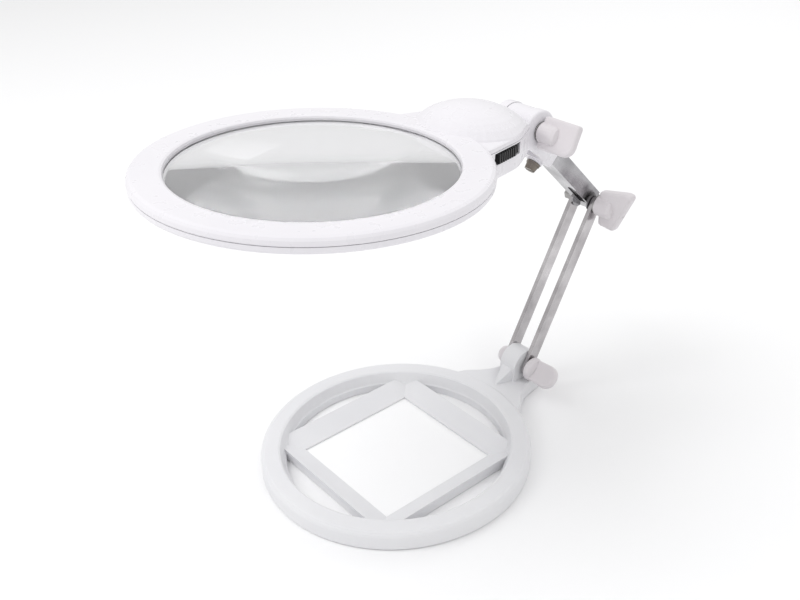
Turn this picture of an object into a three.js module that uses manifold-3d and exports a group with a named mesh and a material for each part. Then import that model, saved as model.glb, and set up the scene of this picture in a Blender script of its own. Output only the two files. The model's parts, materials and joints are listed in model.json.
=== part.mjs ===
// A folding magnifying lamp: a round lens in a white ring head with a battery handle, held by a two-part
// metal arm on a ring-shaped base. Three wing knobs clamp the base hinge, the elbow and the head hinge.
//
// Millimetres, +Z up. X runs along the three hinge bolts, with the knobs on the +X side. The user sits at -Y
// and the arm stands at +Y. The pieces are laid out round the centre of the base ring, and the whole lamp is
// moved at the end so that the origin is at the bottom centre of its bounding box.
import * as THREE from "three";
import { ConvexGeometry } from "three/addons/geometries/ConvexGeometry.js";
import { mergeVertices } from "three/addons/utils/BufferGeometryUtils.js";
import Module from "manifold-3d";

const wasm = await Module();
wasm.setup();

// ---------------------------------------------------------------- driving dimensions
const GAP = 0.3; // between pieces that touch

const LENS = { seen: 65.7, edge: 67.7, edgeThick: 2.8, sag: 9 }; // radii, and the rise of each curved face
const HEAD = { outer: 81.5, thick: 7.7, bottomShell: 3.4, wall: 1.8 }; // the ring round the lens
// The battery handle and the ellipsoid of its rounded top, measured from the ring's top.
const NECK = { shoulder: -1.8, bottom: -19, frontWall: 69.8, rear: 121 };
const DOME = { y: 95.5, z: -11, halfX: 34, halfY: 31, rise: 20 };
const HEAD_TILT = THREE.MathUtils.degToRad(3.54); // front edge up
const RING_CENTRE = { y: -37.5, z: 187.1 }; // centre of the ring's top plane

const BASE = { outer: 75, topInner: 65.2, inner: 61.3, height: 11 };
const FRAME = { inner: 36.7, outer: 48.8, outerHeight: 6.4, innerHeight: 0.9 }; // half sides of the square

const BASE_PIVOT = { y: 97.2, z: 17.5 };
const ELBOW = { y: 150.4, z: 108 };
const BOLT = 2; // radius of the three hinge bolts
const BORE = BOLT + GAP;

const BAR = { inner: 6.2, thick: 2.6, half: 3.95, tail: 5.3 }; // the two flat bars of the lower arm
// The channel of the upper bracket, in the bracket's own frame.
const CHANNEL = { outer: 5.9, sheet: 0.8, web: 3.1, edge: -6.8, end: 52, tongueEnd: 64, ear: 5.8 };
const BARREL = { along: 82, offset: 1.6, radius: 11, ear: 13, knuckle: 6.7 }; // the head hinge on the bracket

const CELL = { radius: 5.15, length: 43.5, nub: 1, pitch: 10.7 }; // one AAA cell
const SWITCH = { x: 31, y: 91, z: -8, turn: THREE.MathUtils.degToRad(13.5), long: 24, high: 6 };

// ---------------------------------------------------------------- materials
function material(color, roughness, metalness = 0) {
  return new THREE.MeshStandardMaterial({ color, roughness, metalness });
}
const whitePlastic = material(0xf6f4f8, 0.4);
const knobPlastic = material(0xe9e4e8, 0.45);
const basePlastic = material(0xe6e5ea, 0.5);
const blackPlastic = material(0x18181a, 0.55);
const chrome = material(0xb8b8bc, 0.25, 0.9);
const steel = material(0x8d8c8a, 0.4, 0.9);
const lensMaterial = material(0xd6dadd, 0.05);
const ledMaterial = material(0xeef2ff, 0.2);
const boardMaterial = material(0x2f6b45, 0.6);
const cellMaterial = material(0x3a4a66, 0.4);

// ---------------------------------------------------------------- solids
// A three.js geometry as a manifold-3d solid, with its faces turned out.
function solid(geometry) {
  const bare = geometry.clone();
  bare.deleteAttribute("normal");
  bare.deleteAttribute("uv");
  const merged = mergeVertices(bare, 1e-4);
  const build = (triVerts) =>
    new wasm.Manifold(
      new wasm.Mesh({ numProp: 3, vertProperties: merged.attributes.position.array, triVerts }),
    );
  const made = build(new Uint32Array(merged.index.array));
  if (made.volume() >= 0) return made;
  return build(new Uint32Array(merged.index.array).reverse());
}

function join(...pieces) {
  return pieces.reduce((a, b) => a.add(b));
}

function cut(piece, ...tools) {
  return tools.reduce((a, b) => a.subtract(b), piece);
}

function geometryOf(piece) {
  const data = piece.getMesh();
  const geometry = new THREE.BufferGeometry();
  geometry.setAttribute("position", new THREE.BufferAttribute(data.vertProperties, 3));
  geometry.setIndex(new THREE.BufferAttribute(data.triVerts, 1));
  geometry.computeVertexNormals();
  return geometry;
}

function part(group, name, piece, look) {
  const mesh = new THREE.Mesh(geometryOf(piece), look);
  mesh.name = name;
  group.add(mesh);
}

function box(x0, x1, y0, y1, z0, z1) {
  const geometry = new THREE.BoxGeometry(x1 - x0, y1 - y0, z1 - z0);
  return solid(geometry.translate((x0 + x1) / 2, (y0 + y1) / 2, (z0 + z1) / 2));
}

// A rod or a cone along X, Y or Z, from a to b on that axis, with its centre line through p and q.
function rodX(r, x0, x1, y = 0, z = 0, segments = 32, rEnd = r) {
  const geometry = new THREE.CylinderGeometry(rEnd, r, x1 - x0, segments);
  return solid(geometry.rotateZ(-Math.PI / 2).translate((x0 + x1) / 2, y, z));
}

function rodY(r, y0, y1, x = 0, z = 0, segments = 24, rEnd = r) {
  const geometry = new THREE.CylinderGeometry(rEnd, r, y1 - y0, segments);
  return solid(geometry.translate(x, (y0 + y1) / 2, z));
}

function rodZ(r, z0, z1, x = 0, y = 0, segments = 32, rEnd = r) {
  const geometry = new THREE.CylinderGeometry(rEnd, r, z1 - z0, segments);
  return solid(geometry.rotateX(Math.PI / 2).translate(x, y, (z0 + z1) / 2));
}

// A turned solid about Z, from a closed outline of [radius, height] points.
function turned(outline, segments) {
  const points = outline.map(([r, z]) => new THREE.Vector2(r, z));
  if (outline[0][0] > 0) points.push(points[0].clone());
  return solid(new THREE.LatheGeometry(points, segments).rotateX(Math.PI / 2));
}

// A turned solid about X, from an outline of [radius, x] points that starts and ends on the axis.
function turnedX(outline, segments, y = 0, z = 0) {
  const points = outline.map(([r, x]) => new THREE.Vector2(r, x));
  const geometry = new THREE.LatheGeometry(points, segments);
  return solid(geometry.rotateZ(-Math.PI / 2).translate(0, y, z));
}

// A bevel that keeps the outline's own size.
function roundedEdge(radius, segments) {
  return {
    bevelEnabled: radius > 0,
    bevelThickness: radius,
    bevelSize: radius,
    bevelOffset: -radius,
    bevelSegments: segments,
  };
}

// A flat piece standing on the X-Y plane, from z0 to z1.
function slab(shape, z0, z1, edge = 0, edgeSegments = 2, curveSegments = 12) {
  const depth = z1 - z0 - 2 * edge;
  const geometry = new THREE.ExtrudeGeometry(shape, {
    depth,
    curveSegments,
    ...roundedEdge(edge, edgeSegments),
  });
  return solid(geometry.translate(0, 0, z0 + edge));
}

// A flat piece whose outline lies in the Y-Z plane, from x0 to x1.
function plateX(shape, x0, x1, edge = 0, edgeSegments = 2) {
  const depth = x1 - x0 - 2 * edge;
  const geometry = new THREE.ExtrudeGeometry(shape, {
    depth,
    curveSegments: 12,
    ...roundedEdge(edge, edgeSegments),
  });
  const turn = new THREE.Matrix4().makeBasis(
    new THREE.Vector3(0, 1, 0),
    new THREE.Vector3(0, 0, 1),
    new THREE.Vector3(1, 0, 0),
  );
  return solid(geometry.applyMatrix4(turn).translate(x0 + edge, 0, 0));
}

// A wing: an outline of X and height Z, with its thickness along Y.
function wing(shape, thick, edge) {
  const geometry = new THREE.ExtrudeGeometry(shape, {
    depth: thick - 2 * edge,
    curveSegments: 6,
    ...roundedEdge(edge, 3),
  });
  return solid(geometry.translate(0, 0, edge - thick / 2).rotateX(Math.PI / 2));
}

// A polygon whose corners are [x, y, radius] or [x, y] for a sharp one, given anticlockwise.
function roundedPolygon(corners) {
  const shape = new THREE.Shape();
  corners.forEach(([x, y, r = 0], i) => {
    if (r === 0 && i === 0) return shape.moveTo(x, y);
    if (r === 0) return shape.lineTo(x, y);
    const corner = new THREE.Vector2(x, y);
    const [bx, by] = corners[(i + corners.length - 1) % corners.length];
    const [ax, ay] = corners[(i + 1) % corners.length];
    const back = new THREE.Vector2(bx, by).sub(corner).normalize();
    const ahead = new THREE.Vector2(ax, ay).sub(corner).normalize();
    const halfAngle = Math.acos(THREE.MathUtils.clamp(back.dot(ahead), -1, 1)) / 2;
    const tangent = r / Math.tan(halfAngle);
    const convex = ahead.cross(back) > 0 ? 1 : -1;
    const start = corner.clone().addScaledVector(back, tangent);
    const end = corner.clone().addScaledVector(ahead, tangent);
    const centre = back
      .clone()
      .add(ahead)
      .normalize()
      .multiplyScalar(r / Math.sin(halfAngle))
      .add(corner);
    const from = start.clone().sub(centre).angle();
    const to = end.clone().sub(centre).angle();
    if (i === 0) shape.moveTo(start.x, start.y);
    return shape.absarc(centre.x, centre.y, r, from, to, convex < 0);
  });
  shape.closePath();
  return shape;
}

function place(group, y, z, turn = 0, x = 0) {
  group.position.set(x, y, z);
  group.rotation.x = turn;
  return group;
}

// ---------------------------------------------------------------- base
function baseRing() {
  const { outer, topInner, inner, height } = BASE;
  const ring = turned(
    [
      [inner, 0],
      [outer - 0.8, 0],
      [outer, 0.8],
      [outer, height - 2.8],
      [outer - 0.4, height - 1.5],
      [outer - 1.3, height - 0.5],
      [outer - 2.6, height],
      [topInner, height],
      [topInner - 1, height - 0.6],
      [inner + 0.7, 5.2],
      [inner, 4.4],
    ],
    72,
  );
  const side = Math.SQRT2; // a four-sided turned shape has its radii at the corners
  const square = turned(
    [
      [FRAME.inner * side, 0],
      [FRAME.outer * side, 0],
      [FRAME.outer * side, FRAME.outerHeight],
      [FRAME.inner * side, FRAME.innerHeight],
    ],
    4,
  ).rotate([0, 0, 45]);
  const insideRing = rodZ(inner + 1.2, -1, height, 0, 0, 72);
  const flare = [
    [26, 68],
    [23.4, 75],
    [17.6, 82],
    [14, 88],
    [12, 94],
    [10.8, 101],
    [9.6, 107],
  ];
  const half = flare.map(([x, y]) => new THREE.Vector2(x, y));
  const shape = new THREE.Shape();
  shape.moveTo(-26, 68);
  shape.lineTo(26, 68);
  shape.splineThru(half.slice(1));
  shape.quadraticCurveTo(9, 110.5, 5, 110.5);
  shape.lineTo(-5, 110.5);
  shape.quadraticCurveTo(-9, 110.5, -9.6, 107);
  shape.splineThru(half.slice(0, -1).reverse().map((p) => new THREE.Vector2(-p.x, p.y)));
  const tongue = slab(shape, 0, height - 1, 0.9, 2, 4);
  const knuckleHalf = BAR.inner - GAP;
  const { y, z } = BASE_PIVOT;
  const knuckle = join(
    rodX(9.8, -knuckleHalf, knuckleHalf, y, z, 36),
    box(-knuckleHalf, knuckleHalf, y - 9.8, y + 9.8, height - 4, z),
  );
  const gusset = solid(
    new ConvexGeometry(
      [
        [-0.8, y - 20, height - 1.2],
        [0.8, y - 20, height - 1.2],
        [-0.8, y - 20, 5],
        [0.8, y - 20, 5],
        [-4.8, y - 7, 5],
        [4.8, y - 7, 5],
        [-4.8, y - 7, z + 3],
        [4.8, y - 7, z + 3],
      ].map((p) => new THREE.Vector3(...p)),
    ),
  );
  return cut(
    join(ring, square.intersect(insideRing), tongue, knuckle, gusset),
    rodX(BORE, -20, 20, y, z, 20),
  );
}

// A hinge bolt along X from its head to its tip, with the head's inner face at x = head.
function hingeBolt(head, tip, headRadius = 3.3, headThick = 2.4) {
  return join(
    rodX(headRadius, head - headThick, head, 0, 0, 6),
    rodX(BOLT, head - 0.1, tip, 0, 0, 20),
  );
}

// A round cap over a bolt's head: a dome towards -X with a pocket in its flat face.
function boltCap(radius, face, height) {
  const dome = turnedX(
    [
      [0, face - height],
      [radius * 0.55, face - height * 0.94],
      [radius * 0.85, face - height * 0.7],
      [radius, face - height * 0.35],
      [radius, face],
      [0, face],
    ],
    32,
  );
  return cut(dome, rodX(3.7, face - 2.9, face + 1, 0, 0, 24));
}

function washer(radius, x0, x1) {
  return cut(rodX(radius, x0, x1, 0, 0, 32), rodX(BORE, x0 - 1, x1 + 1, 0, 0, 20));
}

// A wing knob: a round hub with a domed nose, a wing on it, and a blind bore for the bolt's thread.
function knob(hubRadius, x0, hubEnd, wingPiece, boreEnd) {
  const hub = turnedX(
    [
      [0, x0],
      [hubRadius - 0.5, x0],
      [hubRadius, x0 + 0.5],
      [hubRadius, hubEnd - hubRadius * 0.5],
      [hubRadius * 0.86, hubEnd - hubRadius * 0.22],
      [hubRadius * 0.5, hubEnd - hubRadius * 0.05],
      [0, hubEnd],
    ],
    28,
  );
  return cut(join(hub, wingPiece), rodX(BORE, x0 - 1, boreEnd, 0, 0, 20));
}

function buildBase() {
  const base = new THREE.Group();
  part(base, "base_ring", baseRing(), basePlastic);
  const hinge = place(new THREE.Group(), BASE_PIVOT.y, BASE_PIVOT.z);
  const face = BAR.inner + BAR.thick + GAP;
  part(hinge, "base_hinge_bolt", hingeBolt(-face, 24), steel);
  part(hinge, "base_hinge_cap", boltCap(5.4, -face, 5.6), knobPlastic);
  part(hinge, "base_hinge_washer", washer(5.6, face, face + 0.8), steel);
  const turn = new THREE.Group();
  turn.rotation.x = THREE.MathUtils.degToRad(45 - 90);
  const start = face + 0.8 + GAP;
  const paddle = wing(
    roundedPolygon([
      [start, -6.4, 1.7],
      [29.5, -7.4, 6.5],
      [29.5, 7.4, 6.5],
      [start, 6.4, 1.7],
    ]),
    5,
    1.6,
  );
  part(turn, "base_knob", knob(7.2, start, start + 5.4, paddle, 25), knobPlastic);
  hinge.add(turn);
  base.add(hinge);
  return base;
}

// ---------------------------------------------------------------- lower arm
const ARM_LENGTH = Math.hypot(ELBOW.y - BASE_PIVOT.y, ELBOW.z - BASE_PIVOT.z);
const ARM_TURN = Math.atan2(ELBOW.z - BASE_PIVOT.z, ELBOW.y - BASE_PIVOT.y);

// One flat bar along Y from the base pivot, round at both ends, with a bolt hole at each pivot.
function armBar(x0) {
  const { half, tail, thick } = BAR;
  const shape = new THREE.Shape();
  shape.absarc(ARM_LENGTH, 0, half, -Math.PI / 2, Math.PI / 2);
  shape.absarc(half - tail, 0, half, Math.PI / 2, (3 * Math.PI) / 2);
  shape.closePath();
  return cut(
    plateX(shape, x0, x0 + thick, 0.25, 1),
    rodX(BORE, x0 - 1, x0 + thick + 1, 0, 0, 20),
    rodX(BORE, x0 - 1, x0 + thick + 1, ARM_LENGTH, 0, 20),
  );
}

function buildArm() {
  const arm = place(new THREE.Group(), BASE_PIVOT.y, BASE_PIVOT.z, ARM_TURN);
  part(arm, "arm_bar_left", armBar(-BAR.inner - BAR.thick), chrome);
  part(arm, "arm_bar_right", armBar(BAR.inner), chrome);
  return arm;
}

// ---------------------------------------------------------------- upper bracket
// The bracket's own frame: +Y from the elbow towards the head hinge, +Z out of the channel's web, which
// faces down and to the front. The channel stands between the bars of the lower arm.
const BRACKET_TURN = THREE.MathUtils.degToRad(133.6);

function channel() {
  const { outer, sheet, web, edge, end, tongueEnd, ear } = CHANNEL;
  const inner = outer - sheet;
  const back = box(-outer, outer, -4.6, end, web - sheet, web);
  const mouth = join(rodZ(2.6, 0, 10, 1.8, 19, 24), box(-0.8, 4.4, 4, 19, 0, 10));
  const tongue = slab(
    roundedPolygon([
      [-inner + 0.6, end - 2],
      [inner - 0.6, end - 2],
      [inner - 0.6, tongueEnd, 2.5],
      [-inner + 0.6, tongueEnd, 2.5],
    ]),
    web - sheet,
    web,
  );
  const flange = (x0) =>
    join(box(x0, x0 + sheet, 0, end, edge, web), rodX(ear, x0, x0 + sheet, 0, 0, 36));
  return cut(
    join(cut(back, mouth), tongue, flange(-outer), flange(inner)),
    rodX(BORE, -20, 20, 0, 0, 20),
    rodZ(1.7, -5, 10, 0, SCREW_AT, 16),
  );
}

const SCREW_AT = 58; // along the bracket
const SCREW_SEAT = 7.8; // the flat of the fork's boss that the screw bears on

// The plastic fork at the head hinge. Its stem is held between the channel's flanges, and its two ears
// carry the hinge bolt on both sides of the head's knuckle.
function fork() {
  const { along, offset, radius, ear, knuckle } = BARREL;
  const { outer, sheet, web, edge, end, tongueEnd } = CHANNEL;
  const stemHalf = outer - sheet - GAP;
  const pivotZ = -offset;
  const stem = box(-stemHalf, stemHalf, 36, 60, edge + 0.3, web - sheet - GAP);
  const body = plateX(
    roundedPolygon([
      [end + GAP, edge - 0.2, 1.5],
      [along - 8, edge - 1.6, 2],
      [along - 6, pivotZ - 8.6, 1],
      [along, pivotZ, 1],
      [along - 6, pivotZ + 9.2, 2],
      [end + GAP, 6.2, 3],
    ]),
    -10.1,
    10.1,
    0.8,
  );
  const taper = slab(
    roundedPolygon([
      [-6.7, end],
      [6.7, end],
      [10.2, along - 11, 8],
      [10.2, along + 5],
      [-10.2, along + 5],
      [-10.2, along - 11, 8],
    ]),
    -20,
    20,
  );
  const outerEar = (side) => {
    const inside = knuckle + GAP;
    const disc = turnedX(
      [
        [0, inside],
        [radius, inside],
        [radius, ear - 1],
        [radius - 0.35, ear - 0.35],
        [radius - 1, ear],
        [0, ear],
      ],
      36,
      along,
      pivotZ,
    );
    return side > 0 ? disc : disc.mirror([1, 0, 0]);
  };
  return cut(
    join(stem, body.intersect(taper), rodZ(4.5, 0, SCREW_SEAT, 0, SCREW_AT, 28), outerEar(1), outerEar(-1)),
    rodX(radius + GAP, -knuckle - GAP, knuckle + GAP, along, pivotZ, 36),
    box(-knuckle - GAP, knuckle + GAP, 65, along + 15, 0, 20),
    box(-stemHalf, stemHalf, end - 5, tongueEnd + GAP, web - sheet - GAP, web + GAP),
    rodX(BORE, -20, 20, along, pivotZ, 20),
    rodZ(1.7, -3.5, 20, 0, SCREW_AT, 16),
  );
}

function buildBracket() {
  const bracket = place(new THREE.Group(), ELBOW.y, ELBOW.z, BRACKET_TURN);
  part(bracket, "upper_channel", channel(), chrome);
  part(bracket, "bracket_fork", fork(), whitePlastic);
  const screwTop = SCREW_SEAT + GAP;
  const screw = join(
    rodZ(1.4, -3, screwTop + 0.1, 0, SCREW_AT, 16),
    rodZ(4, screwTop, screwTop + 1.2, 0, SCREW_AT, 24),
    rodZ(3.6, screwTop + 1.1, screwTop + 4.6, 0, SCREW_AT, 24, 3),
  );
  const slot = box(-3, 3, SCREW_AT - 0.5, SCREW_AT + 0.5, screwTop + 3.4, screwTop + 6);
  part(bracket, "fork_screw", cut(screw, slot), steel);
  const face = BAR.inner + BAR.thick + GAP;
  part(bracket, "elbow_bolt", hingeBolt(-face, 27, 3.6, 4.8), steel);
  part(bracket, "elbow_washer", washer(5.6, face, face + 0.9), steel);
  return bracket;
}

// The elbow knob's wing stands upright, longer along its top edge than along its bottom edge.
function buildElbowKnob() {
  const elbow = place(new THREE.Group(), ELBOW.y, ELBOW.z);
  const start = BAR.inner + BAR.thick + 0.9 + 2 * GAP;
  const inside = start + 1.4;
  const flag = wing(
    roundedPolygon([
      [inside, -11.6, 1.9],
      [22.8, -12.6, 2.6],
      [35.2, 13, 2.2],
      [30, 13.4, 4],
      [inside, 9.4, 1.9],
    ]),
    6,
    1.8,
  );
  part(elbow, "elbow_knob", knob(6.4, start, start + 12.4, flag, 28), knobPlastic);
  return elbow;
}

// ---------------------------------------------------------------- head hinge hardware, on the fork
function headPivot() {
  const turn = BRACKET_TURN;
  const y = BARREL.along * Math.cos(turn) + BARREL.offset * Math.sin(turn);
  const z = BARREL.along * Math.sin(turn) - BARREL.offset * Math.cos(turn);
  return { y: ELBOW.y + y, z: ELBOW.z + z };
}

function buildHeadHinge() {
  const { y, z } = headPivot();
  const hinge = place(new THREE.Group(), y, z);
  const face = BARREL.ear + GAP;
  part(hinge, "head_hinge_bolt", hingeBolt(-face, 26), steel);
  part(hinge, "head_hinge_cap", boltCap(9, -face, 3.6), whitePlastic);
  part(hinge, "head_hinge_washer", washer(5.2, face, face + 0.8), steel);
  const turn = new THREE.Group();
  turn.rotation.x = THREE.MathUtils.degToRad(66 - 90);
  const start = face + 0.8 + GAP;
  const plate = wing(
    roundedPolygon([
      [start, -8.6, 2],
      [37.2, -8.6, 6],
      [37.6, 8.6, 1.8],
      [start, 8.6, 2],
    ]),
    4.4,
    1.4,
  );
  part(turn, "head_knob", knob(5.6, start, start + 12.6, plate, start + 12.1), knobPlastic);
  hinge.add(turn);
  return hinge;
}

// ---------------------------------------------------------------- head
// The head's own frame: the origin is the centre of the ring's top plane, +Y runs down the handle.
const SEAM = HEAD.bottomShell - HEAD.thick; // top face of the bottom shell

// The handle's outline seen from above, drawn in by an inset, from a front line back to its rear end.
function neckOutline(inset, front) {
  const rear = NECK.rear - inset;
  const side = [
    [34.6 - inset, front],
    [34.6 - inset, 77],
    [28.6 - inset, 102, 30],
    [17 - inset, rear, 5 - inset],
  ];
  const mirrored = side.map(([x, y, r]) => [-x, y, r]).reverse();
  return roundedPolygon([...side, ...mirrored]);
}

// The rounded top of the handle: an ellipsoid drawn in by an inset.
function domeTop(inset) {
  const { y, z, halfX, halfY, rise } = DOME;
  const geometry = new THREE.SphereGeometry(1, 36, 18);
  geometry.rotateX(Math.PI / 2);
  geometry.scale(halfX - inset, halfY - inset, rise - inset);
  return solid(geometry.translate(0, y, z));
}

function lensSeat() {
  const half = LENS.edgeThick / 2 + GAP;
  return rodZ(LENS.edge + GAP, SEAM + 0.15 - half, SEAM + 0.15 + half, 0, 0, 80);
}

const SCREW_ANGLES = [45, 135, 225, 315].map(THREE.MathUtils.degToRad);
const SCREW_RING = 72.8;

function screwHoles(radius, z0, z1) {
  return SCREW_ANGLES.map((a) =>
    rodZ(radius, z0, z1, SCREW_RING * Math.cos(a), SCREW_RING * Math.sin(a), 16),
  );
}

function topShell() {
  const low = SEAM + GAP;
  const ring = turned(
    [
      [LENS.seen, low],
      [HEAD.outer - 0.3, low],
      [HEAD.outer, low + 0.6],
      [HEAD.outer - 0.2, -1.7],
      [HEAD.outer - 1, -0.6],
      [HEAD.outer - 2.4, 0],
      [LENS.seen + 1.6, 0],
      [LENS.seen + 0.5, -0.4],
      [LENS.seen, -1.3],
    ],
    80,
  );
  const dome = cut(
    join(
      slab(neckOutline(0, 64), -30, NECK.shoulder, 1.2, 2, 5),
      domeTop(0).intersect(slab(neckOutline(0.2, 64), -30, 30, 0, 1, 5)),
    ),
    box(-60, 60, 0, 200, -60, low),
    rodZ(LENS.seen + 1.6, -10, 20, 0, 0, 80),
  );
  const cavity = cut(
    join(
      slab(neckOutline(HEAD.wall, 60), -20, NECK.shoulder - HEAD.wall, 0, 1, 5),
      domeTop(HEAD.wall).intersect(slab(neckOutline(HEAD.wall, 60), -30, 30, 0, 1, 5)),
    ),
    rodZ(NECK.frontWall + HEAD.wall, -30, 20, 0, 0, 80),
  );
  const posts = [-9, 9].map((x) => rodZ(1.8, SEAM - 0.7 + GAP, 8, x, 98, 16));
  const shell = join(cut(join(ring, dome), cavity), ...posts);
  return cut(shell, lensSeat(), ...screwHoles(1.5, -10, -1.6), knuckleRoom());
}

// Room for the fork's ears and the swing of its body, behind and beside the head's knuckle.
function knuckleRoom() {
  return box(-60, 60, NECK.rear, 200, -60, 60);
}

// The hinge knuckle at the end of the handle, round the head pivot.
function knuckle() {
  const pivot = pivotInHead();
  const half = BARREL.knuckle;
  const radius = BARREL.radius - 0.4;
  return cut(
    join(
      rodX(radius, -half, half, pivot.y, pivot.z, 36),
      box(-half, half, NECK.rear - 3, pivot.y, pivot.z - radius, SEAM),
    ),
    rodX(BORE, -20, 20, pivot.y, pivot.z, 20),
  );
}

function pivotInHead() {
  const pivot = headPivot();
  const y = pivot.y - RING_CENTRE.y;
  const z = pivot.z - RING_CENTRE.z;
  return {
    y: y * Math.cos(HEAD_TILT) - z * Math.sin(HEAD_TILT),
    z: y * Math.sin(HEAD_TILT) + z * Math.cos(HEAD_TILT),
  };
}

function inSwitchFrame(piece) {
  return piece
    .rotate([0, 0, THREE.MathUtils.radToDeg(SWITCH.turn)])
    .translate([SWITCH.x, SWITCH.y, SWITCH.z]);
}

const COVER = { half: 16.6, lip: 17.8, front: 70.4, rear: 117.8, thick: 1.5 };

function bottomShell() {
  const low = -HEAD.thick;
  const ring = turned(
    [
      [LENS.seen, low + 0.8],
      [LENS.seen + 0.8, low],
      [HEAD.outer - 2, low],
      [HEAD.outer - 0.9, low + 0.5],
      [HEAD.outer - 0.3, low + 1.5],
      [HEAD.outer - 0.3, SEAM],
      [LENS.seen, SEAM],
    ],
    80,
  );
  const tub = cut(
    slab(neckOutline(0, 60), NECK.bottom, 6, 2, 2, 5),
    box(-60, 60, 0, 200, SEAM, 60),
    rodZ(NECK.frontWall, -60, 60, 0, 0, 80),
  );
  const floor = NECK.bottom + HEAD.wall;
  const cavity = cut(
    slab(neckOutline(HEAD.wall, 50), floor, 6, 0, 1, 5),
    rodZ(NECK.frontWall + HEAD.wall, -60, 60, 0, 0, 80),
  );
  const { half, lip, rear } = COVER;
  const hatch = join(
    box(-half - GAP, half + GAP, 50, rear + GAP, NECK.bottom - 1, floor + 0.1),
    box(-lip - GAP, lip + GAP, 50, rear + GAP, floor - 1.3, floor + 0.1),
  );
  const windowCut = inSwitchFrame(
    box(-4, 4, -SWITCH.long / 2, SWITCH.long / 2, -SWITCH.high / 2, SWITCH.high / 2),
  );
  const shell = join(cut(join(ring, tub), cavity), cut(knuckle(), cavity));
  const ledBores = [-1, 1].map((side) => alongLed(rodZ(2.8, -12, 8, 0, 0, 20), side));
  return cut(
    shell,
    lensSeat(),
    hatch,
    windowCut,
    ...ledBores,
    ...screwHoles(1.6, -12, 4),
    ...screwHoles(3, -12, low + 1.7),
  );
}

function lens() {
  const { seen, edge, edgeThick, sag } = LENS;
  const half = edgeThick / 2;
  const middle = SEAM + 0.15;
  const curved = seen - 0.5; // the faces are curved out to here, and the rim beyond is flat
  const radius = (curved * curved + sag * sag) / (2 * sag);
  const steps = 9;
  const arc = (side) =>
    Array.from({ length: steps }, (_, i) => {
      const r = (curved * i) / (steps - 1);
      return [r, middle + side * (half + sag - radius + Math.sqrt(radius * radius - r * r))];
    });
  return turned([...arc(-1), [edge, middle - half], [edge, middle + half], ...arc(1).reverse()], 64);
}

// A LED stands at the front wall, beside the cells, and looks down at what lies under the lens.
function alongLed(piece, side) {
  return piece.rotate([-45, 0, 0]).translate([side * 21.5, 69, -13.2]);
}

function led(side) {
  const body = join(
    turned(
      [
        [0, -5.6],
        [1.3, -5.3],
        [2.1, -4.6],
        [2.5, -3.2],
        [2.5, 3],
        [0, 3],
      ],
      20,
    ),
    rodZ(2.9, 2.2, 3.2, 0, 0, 20),
  );
  return alongLed(body, side);
}

function cell(x, flip) {
  const y0 = 73;
  const z = NECK.bottom + HEAD.wall + GAP + CELL.radius;
  const nubSide = flip ? [y0, y0 + CELL.nub + 0.1] : [y0 + CELL.length, y0 + CELL.length + CELL.nub];
  const start = flip ? y0 + CELL.nub : y0;
  return join(
    rodY(CELL.radius, start, start + CELL.length, x, z, 24),
    rodY(1.9, nubSide[0], nubSide[1], x, z, 16),
  );
}

function contact(y0, outward) {
  const z = NECK.bottom + HEAD.wall + GAP + CELL.radius;
  const plate = box(-12.6, 12.6, y0, y0 + 0.5, z - 4.6, z + 4.6);
  const bumps = [-1, 0, 1].map((i) => {
    const from = outward > 0 ? y0 + 0.4 : y0 - 0.25;
    return rodY(1.8, from, from + 0.35, i * CELL.pitch, z, 16);
  });
  return join(plate, ...bumps);
}

function batteryCover() {
  const { half, lip, front, rear, thick } = COVER;
  const top = NECK.bottom + thick;
  const ribs = [0, 1, 2, 3].map((i) =>
    box(-7, 7, 78 + 2.4 * i, 79.2 + 2.4 * i, NECK.bottom - 0.5, NECK.bottom + 0.2),
  );
  const plate = box(-half, half, front, rear, NECK.bottom, top);
  const tongues = box(-lip, lip, front + 2, rear - 2, top - 0.6, top);
  const frontEdge = rodZ(NECK.frontWall + 0.2, -60, 60, 0, 0, 80);
  return cut(join(plate, tongues, ...ribs), frontEdge);
}

function switchHousing() {
  const length = SWITCH.long / 2 - GAP;
  const height = SWITCH.high / 2 - GAP;
  const body = box(-6, -1, -length, length, -height, height);
  return inSwitchFrame(cut(body, box(-3.2, 0, -9.8, 9.8, -1.6, 1.6)));
}

function switchSlider() {
  const cap = box(-0.7, 0.5, -9.6, 5.4, -2.6, 2.6);
  const stem = box(-2.9, -0.6, -5, 1, -1.3, 1.3);
  const ribs = Array.from({ length: 8 }, (_, i) => {
    const y = -9.1 + i * 1.95;
    return box(0.4, 1.3, y, y + 0.95, -2.4, 2.4);
  });
  return inSwitchFrame(join(cap, stem, ...ribs));
}

function shellScrew(angle) {
  const x = SCREW_RING * Math.cos(angle);
  const y = SCREW_RING * Math.sin(angle);
  const head = -HEAD.thick + 0.2;
  const screw = join(
    rodZ(2.6, head, head + 1.2, x, y, 20),
    rodZ(1.2, head + 1.1, -2, x, y, 14),
  );
  const slot = 0.45;
  return cut(
    screw,
    box(x - 1.7, x + 1.7, y - slot / 2, y + slot / 2, head - 1, head + 0.6),
    box(x - slot / 2, x + slot / 2, y - 1.7, y + 1.7, head - 1, head + 0.6),
  );
}

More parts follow.
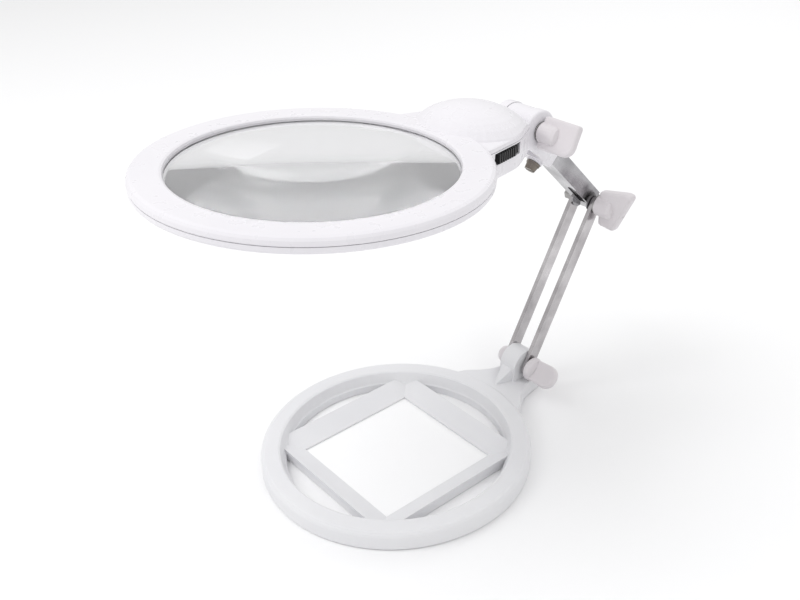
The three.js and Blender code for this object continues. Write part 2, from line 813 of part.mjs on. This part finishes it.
function buildHead() {
  const head = place(new THREE.Group(), RING_CENTRE.y, RING_CENTRE.z, -HEAD_TILT);
  part(head, "head_top_shell", topShell(), whitePlastic);
  part(head, "head_bottom_shell", bottomShell(), whitePlastic);
  part(head, "main_lens", lens(), lensMaterial);
  part(head, "led_left", led(-1), ledMaterial);
  part(head, "led_right", led(1), ledMaterial);
  [-1, 0, 1].forEach((i) => {
    part(head, `battery_${i + 2}`, cell(i * CELL.pitch, i === 0), cellMaterial);
  });
  part(head, "battery_contact_front", contact(72.1, -1), steel);
  part(head, "battery_contact_rear", contact(118, 1), steel);
  part(head, "circuit_board", box(-13, 13, 80, 108, SEAM - 1.9, SEAM - 0.7), boardMaterial);
  part(head, "battery_cover", batteryCover(), whitePlastic);
  part(head, "switch_housing", switchHousing(), blackPlastic);
  part(head, "switch_slider", switchSlider(), blackPlastic);
  SCREW_ANGLES.forEach((angle, i) => {
    part(head, `shell_screw_${i + 1}`, shellScrew(angle), steel);
  });
  return head;
}

// ---------------------------------------------------------------- the lamp
const assembly = new THREE.Group();
assembly.add(buildBase(), buildArm(), buildBracket(), buildElbowKnob(), buildHeadHinge(), buildHead());

// The origin goes to the bottom centre of the lamp's bounding box.
assembly.updateMatrixWorld(true);
const bounds = new THREE.Box3().setFromObject(assembly, true);
const middle = bounds.getCenter(new THREE.Vector3());
assembly.position.set(-middle.x, -middle.y, -bounds.min.z);

const lamp = new THREE.Group();
lamp.add(assembly);

export default lamp;
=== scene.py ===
import json
import math

import bpy
from mathutils import Matrix, Vector


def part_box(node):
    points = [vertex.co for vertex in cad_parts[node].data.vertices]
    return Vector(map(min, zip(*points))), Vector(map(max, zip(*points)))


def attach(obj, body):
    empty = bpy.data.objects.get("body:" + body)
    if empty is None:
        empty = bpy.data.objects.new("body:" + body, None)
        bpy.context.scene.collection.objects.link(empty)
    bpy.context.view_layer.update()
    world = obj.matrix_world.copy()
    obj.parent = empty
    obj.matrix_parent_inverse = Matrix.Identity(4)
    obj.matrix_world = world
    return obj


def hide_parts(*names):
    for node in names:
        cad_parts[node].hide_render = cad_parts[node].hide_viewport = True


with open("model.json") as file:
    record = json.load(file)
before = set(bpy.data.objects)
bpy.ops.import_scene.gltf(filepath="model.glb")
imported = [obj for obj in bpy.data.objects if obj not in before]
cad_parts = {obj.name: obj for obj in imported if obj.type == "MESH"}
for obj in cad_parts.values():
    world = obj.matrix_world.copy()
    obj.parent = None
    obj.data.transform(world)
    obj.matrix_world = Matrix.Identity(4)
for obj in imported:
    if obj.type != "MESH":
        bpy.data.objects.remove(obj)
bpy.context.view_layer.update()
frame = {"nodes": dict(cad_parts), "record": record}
NODES = frame["nodes"]

# ---------------------------------------------------------------- camera
SCENE = bpy.context.scene
SENSOR_MM = 36
FOCAL_MM = 43.3872
PITCH = math.radians(30.568)  # down from the horizon
ROLL = math.radians(2.586)
PSI = math.radians(38.295)  # from the camera's right-hand direction to +Y
CAMERA_AT = Vector((0.3360, -0.27657, 0.3500))


def turn_to_row(v):
    """A direction in the camera's level frame (right, forward, up) in the row frame."""
    c, s = math.cos(PSI), math.sin(PSI)
    return Vector((s * v[0] - c * v[1], c * v[0] + s * v[1], v[2]))


def make_camera():
    down_level = Vector((0, -math.sin(PITCH), -math.cos(PITCH)))
    right_level = Vector((1, 0, 0))
    right = turn_to_row(math.cos(ROLL) * right_level + math.sin(ROLL) * down_level)
    down = turn_to_row(-math.sin(ROLL) * right_level + math.cos(ROLL) * down_level)
    forward = turn_to_row(Vector((0, math.cos(PITCH), -math.sin(PITCH))))
    data = bpy.data.cameras.new("camera")
    data.sensor_width = SENSOR_MM
    data.lens = FOCAL_MM
    data.clip_start = 0.01
    camera = bpy.data.objects.new("camera", data)
    turn = Matrix((right, -down, -forward)).transposed()
    camera.matrix_world = Matrix.Translation(CAMERA_AT) @ turn.to_4x4()
    SCENE.collection.objects.link(camera)
    SCENE.camera = camera


make_camera()


# ---------------------------------------------------------------- floor and light
def make_floor():
    mesh = bpy.data.meshes.new("floor")
    half = 3.0
    corners = [(-half, -half, 0), (half, -half, 0), (half, half, 0), (-half, half, 0)]
    mesh.from_pydata(corners, [], [(0, 1, 2, 3)])
    floor = bpy.data.objects.new("floor", mesh)
    floor.location.z = -0.0002
    SCENE.collection.objects.link(floor)
    mat = bpy.data.materials.new("floor")
    mat.use_nodes = True
    shader = mat.node_tree.nodes["Principled BSDF"]
    shader.inputs["Base Color"].default_value = (0.93, 0.93, 0.935, 1)
    shader.inputs["Roughness"].default_value = 0.9
    mesh.materials.append(mat)


def area_light(name, at, size, power):
    """A square light that looks at LIT_POINT and shows in no reflection."""
    data = bpy.data.lights.new(name, "AREA")
    data.energy = power
    data.size = size
    light = bpy.data.objects.new(name, data)
    light.location = at
    light.visible_glossy = False
    light.rotation_euler = (LIT_POINT - Vector(at)).to_track_quat("-Z", "Y").to_euler()
    SCENE.collection.objects.link(light)


def make_lights():
    world = bpy.data.worlds.new("world")
    SCENE.world = world
    SCENE.view_settings.view_transform = "Standard"
    world.use_nodes = True
    background = world.node_tree.nodes["Background"]
    background.inputs["Color"].default_value = (1, 1, 1, 1)
    background.inputs["Strength"].default_value = 0.75
    area_light("key", (-0.35, -0.75, 1.3), 0.9, 9)
    area_light("fill", (1.1, -0.1, 0.9), 0.8, 1.6)
    area_light("back", (-0.4, 1.1, 1.0), 0.7, 3)


LIT_POINT = Vector((0, 0, 0.1))
make_floor()
make_lights()


# ---------------------------------------------------------------- materials
def new_material(name):
    mat = bpy.data.materials.new(name)
    mat.use_nodes = True
    return mat, mat.node_tree.nodes, mat.node_tree.links, mat.node_tree.nodes["Principled BSDF"]


def ramp(nodes, low, high, start=0.0, end=1.0):
    node = nodes.new("ShaderNodeValToRGB")
    node.color_ramp.elements[0].position = start
    node.color_ramp.elements[0].color = low
    node.color_ramp.elements[1].position = end
    node.color_ramp.elements[1].color = high
    return node


def grey(value):
    return (value, value, value, 1)


def plastic(name, colour, second, roughness, grain, depth, coat=0.0):
    """Moulded plastic: a slow drift between two close colours, a fine grain and uneven gloss."""
    mat, nodes, links, shader = new_material(name)
    place = nodes.new("ShaderNodeTexCoord")
    drift = nodes.new("ShaderNodeTexNoise")
    drift.inputs["Scale"].default_value = 18
    drift.inputs["Detail"].default_value = 3
    links.new(place.outputs["Object"], drift.inputs["Vector"])
    tint = ramp(nodes, (*colour, 1), (*second, 1), 0.35, 0.7)
    links.new(drift.outputs["Fac"], tint.inputs["Fac"])
    links.new(tint.outputs["Color"], shader.inputs["Base Color"])
    gloss = nodes.new("ShaderNodeTexNoise")
    gloss.inputs["Scale"].default_value = 140
    gloss.inputs["Detail"].default_value = 4
    links.new(place.outputs["Object"], gloss.inputs["Vector"])
    gloss_ramp = ramp(nodes, grey(roughness[0]), grey(roughness[1]), 0.3, 0.75)
    links.new(gloss.outputs["Fac"], gloss_ramp.inputs["Fac"])
    links.new(gloss_ramp.outputs["Color"], shader.inputs["Roughness"])
    texture = nodes.new("ShaderNodeTexNoise")
    texture.inputs["Scale"].default_value = grain
    texture.inputs["Detail"].default_value = 2
    links.new(place.outputs["Object"], texture.inputs["Vector"])
    bump = nodes.new("ShaderNodeBump")
    bump.inputs["Strength"].default_value = depth
    bump.inputs["Distance"].default_value = 0.0002
    links.new(texture.outputs["Fac"], bump.inputs["Height"])
    links.new(bump.outputs["Normal"], shader.inputs["Normal"])
    shader.inputs["Coat Weight"].default_value = coat
    shader.inputs["Coat Roughness"].default_value = 0.15
    return mat


def metal(name, colour, second, roughness, along, depth=0.06, turn=0.0):
    """Plated or plain metal: rolling lines stretched along Y after a turn about X, and cloudy gloss."""
    mat, nodes, links, shader = new_material(name)
    shader.inputs["Metallic"].default_value = 1.0
    place = nodes.new("ShaderNodeTexCoord")
    turned = nodes.new("ShaderNodeMapping")
    turned.inputs["Rotation"].default_value = (-turn, 0, 0)
    links.new(place.outputs["Object"], turned.inputs["Vector"])
    spread = nodes.new("ShaderNodeMapping")
    spread.inputs["Scale"].default_value = along
    links.new(turned.outputs["Vector"], spread.inputs["Vector"])
    lines = nodes.new("ShaderNodeTexNoise")
    lines.inputs["Scale"].default_value = 1.0
    lines.inputs["Detail"].default_value = 5
    links.new(spread.outputs["Vector"], lines.inputs["Vector"])
    clouds = nodes.new("ShaderNodeTexNoise")
    clouds.inputs["Scale"].default_value = 60
    clouds.inputs["Detail"].default_value = 4
    links.new(place.outputs["Object"], clouds.inputs["Vector"])
    tint = ramp(nodes, (*colour, 1), (*second, 1), 0.35, 0.7)
    links.new(clouds.outputs["Fac"], tint.inputs["Fac"])
    links.new(tint.outputs["Color"], shader.inputs["Base Color"])
    mixed = nodes.new("ShaderNodeMix")
    mixed.data_type = "FLOAT"
    mixed.inputs["Factor"].default_value = 0.5
    links.new(lines.outputs["Fac"], mixed.inputs["A"])
    links.new(clouds.outputs["Fac"], mixed.inputs["B"])
    gloss = ramp(nodes, grey(roughness[0]), grey(roughness[1]), 0.35, 0.68)
    links.new(mixed.outputs["Result"], gloss.inputs["Fac"])
    links.new(gloss.outputs["Color"], shader.inputs["Roughness"])
    bump = nodes.new("ShaderNodeBump")
    bump.inputs["Strength"].default_value = depth
    bump.inputs["Distance"].default_value = 0.0001
    links.new(lines.outputs["Fac"], bump.inputs["Height"])
    links.new(bump.outputs["Normal"], shader.inputs["Normal"])
    return mat


def clear(name, colour, roughness, ior, clearness):
    """Clear plastic with the faintest unevenness of a polished surface. Clearness 1 lets all light in."""
    mat, nodes, links, shader = new_material(name)
    shader.inputs["Base Color"].default_value = (*colour, 1)
    shader.inputs["Transmission Weight"].default_value = clearness
    shader.inputs["IOR"].default_value = ior
    place = nodes.new("ShaderNodeTexCoord")
    haze = nodes.new("ShaderNodeTexNoise")
    haze.inputs["Scale"].default_value = 35
    haze.inputs["Detail"].default_value = 3
    links.new(place.outputs["Object"], haze.inputs["Vector"])
    gloss = ramp(nodes, grey(roughness[0]), grey(roughness[1]), 0.4, 0.8)
    links.new(haze.outputs["Fac"], gloss.inputs["Fac"])
    links.new(gloss.outputs["Color"], shader.inputs["Roughness"])
    return mat


WHITE = plastic("shell_white", (0.78, 0.765, 0.80), (0.81, 0.795, 0.825), (0.24, 0.38), 2600, 0.03, 0.1)
KNOB = plastic("knob_white", (0.66, 0.63, 0.65), (0.70, 0.665, 0.685), (0.34, 0.5), 2400, 0.05)
BASE = plastic("base_white", (0.74, 0.74, 0.76), (0.77, 0.77, 0.785), (0.36, 0.52), 2200, 0.07)
BLACK = plastic("black_plastic", (0.012, 0.012, 0.013), (0.02, 0.02, 0.021), (0.4, 0.6), 2500, 0.08)
ROLLED = (2600, 50, 2600)  # how fine the rolling lines are: coarse along Y, fine across it
BRUSHED = (1500, 1500, 300)
ARM_TURN = math.radians(59.56)
BRACKET_TURN = math.radians(133.6)
BAR_NICKEL = metal(
    "bar_nickel", (0.42, 0.40, 0.41), (0.66, 0.64, 0.65), (0.14, 0.32), ROLLED, 0.06, ARM_TURN
)
# The bracket takes a darker copy of the bars' nickel plate. Its darkness is painted shade and painted
# dark reflection, not a finish of its own.
BRACKET_NICKEL_PAINTED_SHADE = metal(
    "bracket_nickel_painted_shade", (0.26, 0.255, 0.265), (0.52, 0.515, 0.53), (0.12, 0.3), ROLLED, 0.06, BRACKET_TURN
)
SCREW_STEEL = metal("screw_steel", (0.20, 0.175, 0.15), (0.34, 0.31, 0.28), (0.25, 0.5), BRUSHED, 0.1)
STEEL = metal("plain_steel", (0.34, 0.335, 0.33), (0.44, 0.43, 0.42), (0.28, 0.5), BRUSHED, 0.1)
CONTACT = metal("contact_metal", (0.55, 0.53, 0.48), (0.62, 0.60, 0.55), (0.2, 0.4), (300, 1500, 1500))
LENS = clear("lens_clear", (0.84, 0.84, 0.85), (0.0, 0.004), 1.49, 0.84)
LED = clear("led_clear", (0.93, 0.95, 1.0), (0.02, 0.08), 1.53, 1.0)


def board_material():
    mat, nodes, links, shader = new_material("board_green")
    place = nodes.new("ShaderNodeTexCoord")
    cells = nodes.new("ShaderNodeTexVoronoi")
    cells.inputs["Scale"].default_value = 420
    links.new(place.outputs["Object"], cells.inputs["Vector"])
    tint = ramp(nodes, (0.02, 0.16, 0.06, 1), (0.04, 0.26, 0.1, 1), 0.2, 0.5)
    links.new(cells.outputs["Distance"], tint.inputs["Fac"])
    links.new(tint.outputs["Color"], shader.inputs["Base Color"])
    shader.inputs["Roughness"].default_value = 0.35
    return mat


def cell_material():
    mat, nodes, links, shader = new_material("cell_sleeve")
    place = nodes.new("ShaderNodeTexCoord")
    split = nodes.new("ShaderNodeSeparateXYZ")
    links.new(place.outputs["Object"], split.inputs["Vector"])
    near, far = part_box("battery_1")
    tint = ramp(nodes, (0.6, 0.6, 0.62, 1), (0.05, 0.09, 0.18, 1), 0.24, 0.26)
    scaled = nodes.new("ShaderNodeMapRange")
    scaled.inputs["From Min"].default_value = near.y
    scaled.inputs["From Max"].default_value = far.y
    links.new(split.outputs["Y"], scaled.inputs["Value"])
    links.new(scaled.outputs["Result"], tint.inputs["Fac"])
    links.new(tint.outputs["Color"], shader.inputs["Base Color"])
    shader.inputs["Metallic"].default_value = 0.6
    shader.inputs["Roughness"].default_value = 0.3
    return mat


BOARD = board_material()
CELL = cell_material()

LOOKS = {
    "shell_white": WHITE, "knob_white": KNOB, "base_white": BASE, "black_plastic": BLACK,
    "nickel_plate": BAR_NICKEL, "plain_steel": STEEL, "contact_metal": CONTACT, "lens_clear": LENS,
    "led_clear": LED, "board_green": BOARD, "cell_sleeve": CELL,
}
# upper_channel gets the darker nickel copy, which carries painted shade and painted reflection.
OWN_LOOK = {"upper_channel": BRACKET_NICKEL_PAINTED_SHADE, "fork_screw": SCREW_STEEL}
SMOOTH_ANGLE = math.radians(32)
BEVELLED = {
    "arm_bar_left": 0.00035, "arm_bar_right": 0.00035, "upper_channel": 0.00025, "battery_cover": 0.0003,
    "switch_slider": 0.00018, "switch_housing": 0.0002, "circuit_board": 0.0001,
}


# ---------------------------------------------------------------- pieces
def dress_nodes():
    for entry in frame["record"]["subparts"]:
        node = NODES[entry["node"]]
        node.data.materials.clear()
        node.data.materials.append(OWN_LOOK.get(entry["node"], LOOKS[entry["material_slot"]]))
        node.data.polygons.foreach_set("use_smooth", [True] * len(node.data.polygons))
        node.data.set_sharp_from_angle(angle=SMOOTH_ANGLE)


def bevel_nodes():
    for name, width in BEVELLED.items():
        bevel = NODES[name].modifiers.new("edge", "BEVEL")
        bevel.width = width
        bevel.segments = 2
        bevel.limit_method = "ANGLE"
        bevel.angle_limit = math.radians(50)


# The head's own frame: the centre of the ring's top plane, and how far its front edge is up.
HEAD_AT = Vector((0, -0.0563728, 0.1871))
HEAD_TILT = math.radians(3.54)

LENS_RADIUS = 0.0677
LENS_CURVED = 0.0652  # the faces are curved out to this radius, and the rim beyond is flat
LENS_SAG = 0.009  # how far each curved face rises
LENS_HALF_EDGE = 0.0014
LENS_MIDDLE = -0.00415  # height of its middle plane in the head's frame
LENS_RIM_BEVEL = 0.0003


def lens_outline(rings):
    """(radius, height) pairs from beside the lowest point, round the rim, to beside the highest point."""
    ball = (LENS_CURVED * LENS_CURVED + LENS_SAG * LENS_SAG) / (2 * LENS_SAG)
    radii = [LENS_CURVED * i / rings for i in range(1, rings + 1)]
    rise = [LENS_HALF_EDGE + LENS_SAG - ball + math.sqrt(ball * ball - r * r) for r in radii]
    rim = [
        (LENS_RADIUS - LENS_RIM_BEVEL, -LENS_HALF_EDGE),
        (LENS_RADIUS, LENS_RIM_BEVEL - LENS_HALF_EDGE),
        (LENS_RADIUS, LENS_HALF_EDGE - LENS_RIM_BEVEL),
        (LENS_RADIUS - LENS_RIM_BEVEL, LENS_HALF_EDGE),
    ]
    below = [(r, -h) for r, h in zip(radii, rise)]
    above = [(r, h) for r, h in zip(radii, rise)]
    return [(r, LENS_MIDDLE + h) for r, h in below + rim + above[::-1]]


def turned_mesh(name, low, outline, high, steps):
    """A mesh turned about Z from an outline between two points on the axis, at heights low and high."""
    verts = [(0, 0, low)]
    for r, z in outline:
        for k in range(steps):
            a = 2 * math.pi * k / steps
            verts.append((r * math.cos(a), r * math.sin(a), z))
    verts.append((0, 0, high))
    last = len(verts) - 1
    top = 1 + (len(outline) - 1) * steps
    faces = []
    for k in range(steps):
        n = (k + 1) % steps
        faces.append((0, 1 + n, 1 + k))
        for a in range(1, top, steps):
            b = a + steps
            faces.append((a + k, a + n, b + n, b + k))
        faces.append((top + k, top + n, last))
    mesh = bpy.data.meshes.new(name)
    mesh.from_pydata(verts, [], faces)
    return mesh


def smooth_lens():
    """The lens with finely turned faces, in the place of its faceted solid."""
    half = LENS_HALF_EDGE + LENS_SAG
    mesh = turned_mesh("lens", LENS_MIDDLE - half, lens_outline(40), LENS_MIDDLE + half, 160)
    mesh.polygons.foreach_set("use_smooth", [True] * len(mesh.polygons))
    mesh.set_sharp_from_angle(angle=math.radians(30))
    mesh.materials.append(LENS)
    lens = bpy.data.objects.new("lens", mesh)
    SCENE.collection.objects.link(lens)
    lens.matrix_world = Matrix.Translation(HEAD_AT) @ Matrix.Rotation(-HEAD_TILT, 4, "X")
    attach(lens, "head")
    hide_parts("main_lens")


dress_nodes()
bevel_nodes()
smooth_lens()
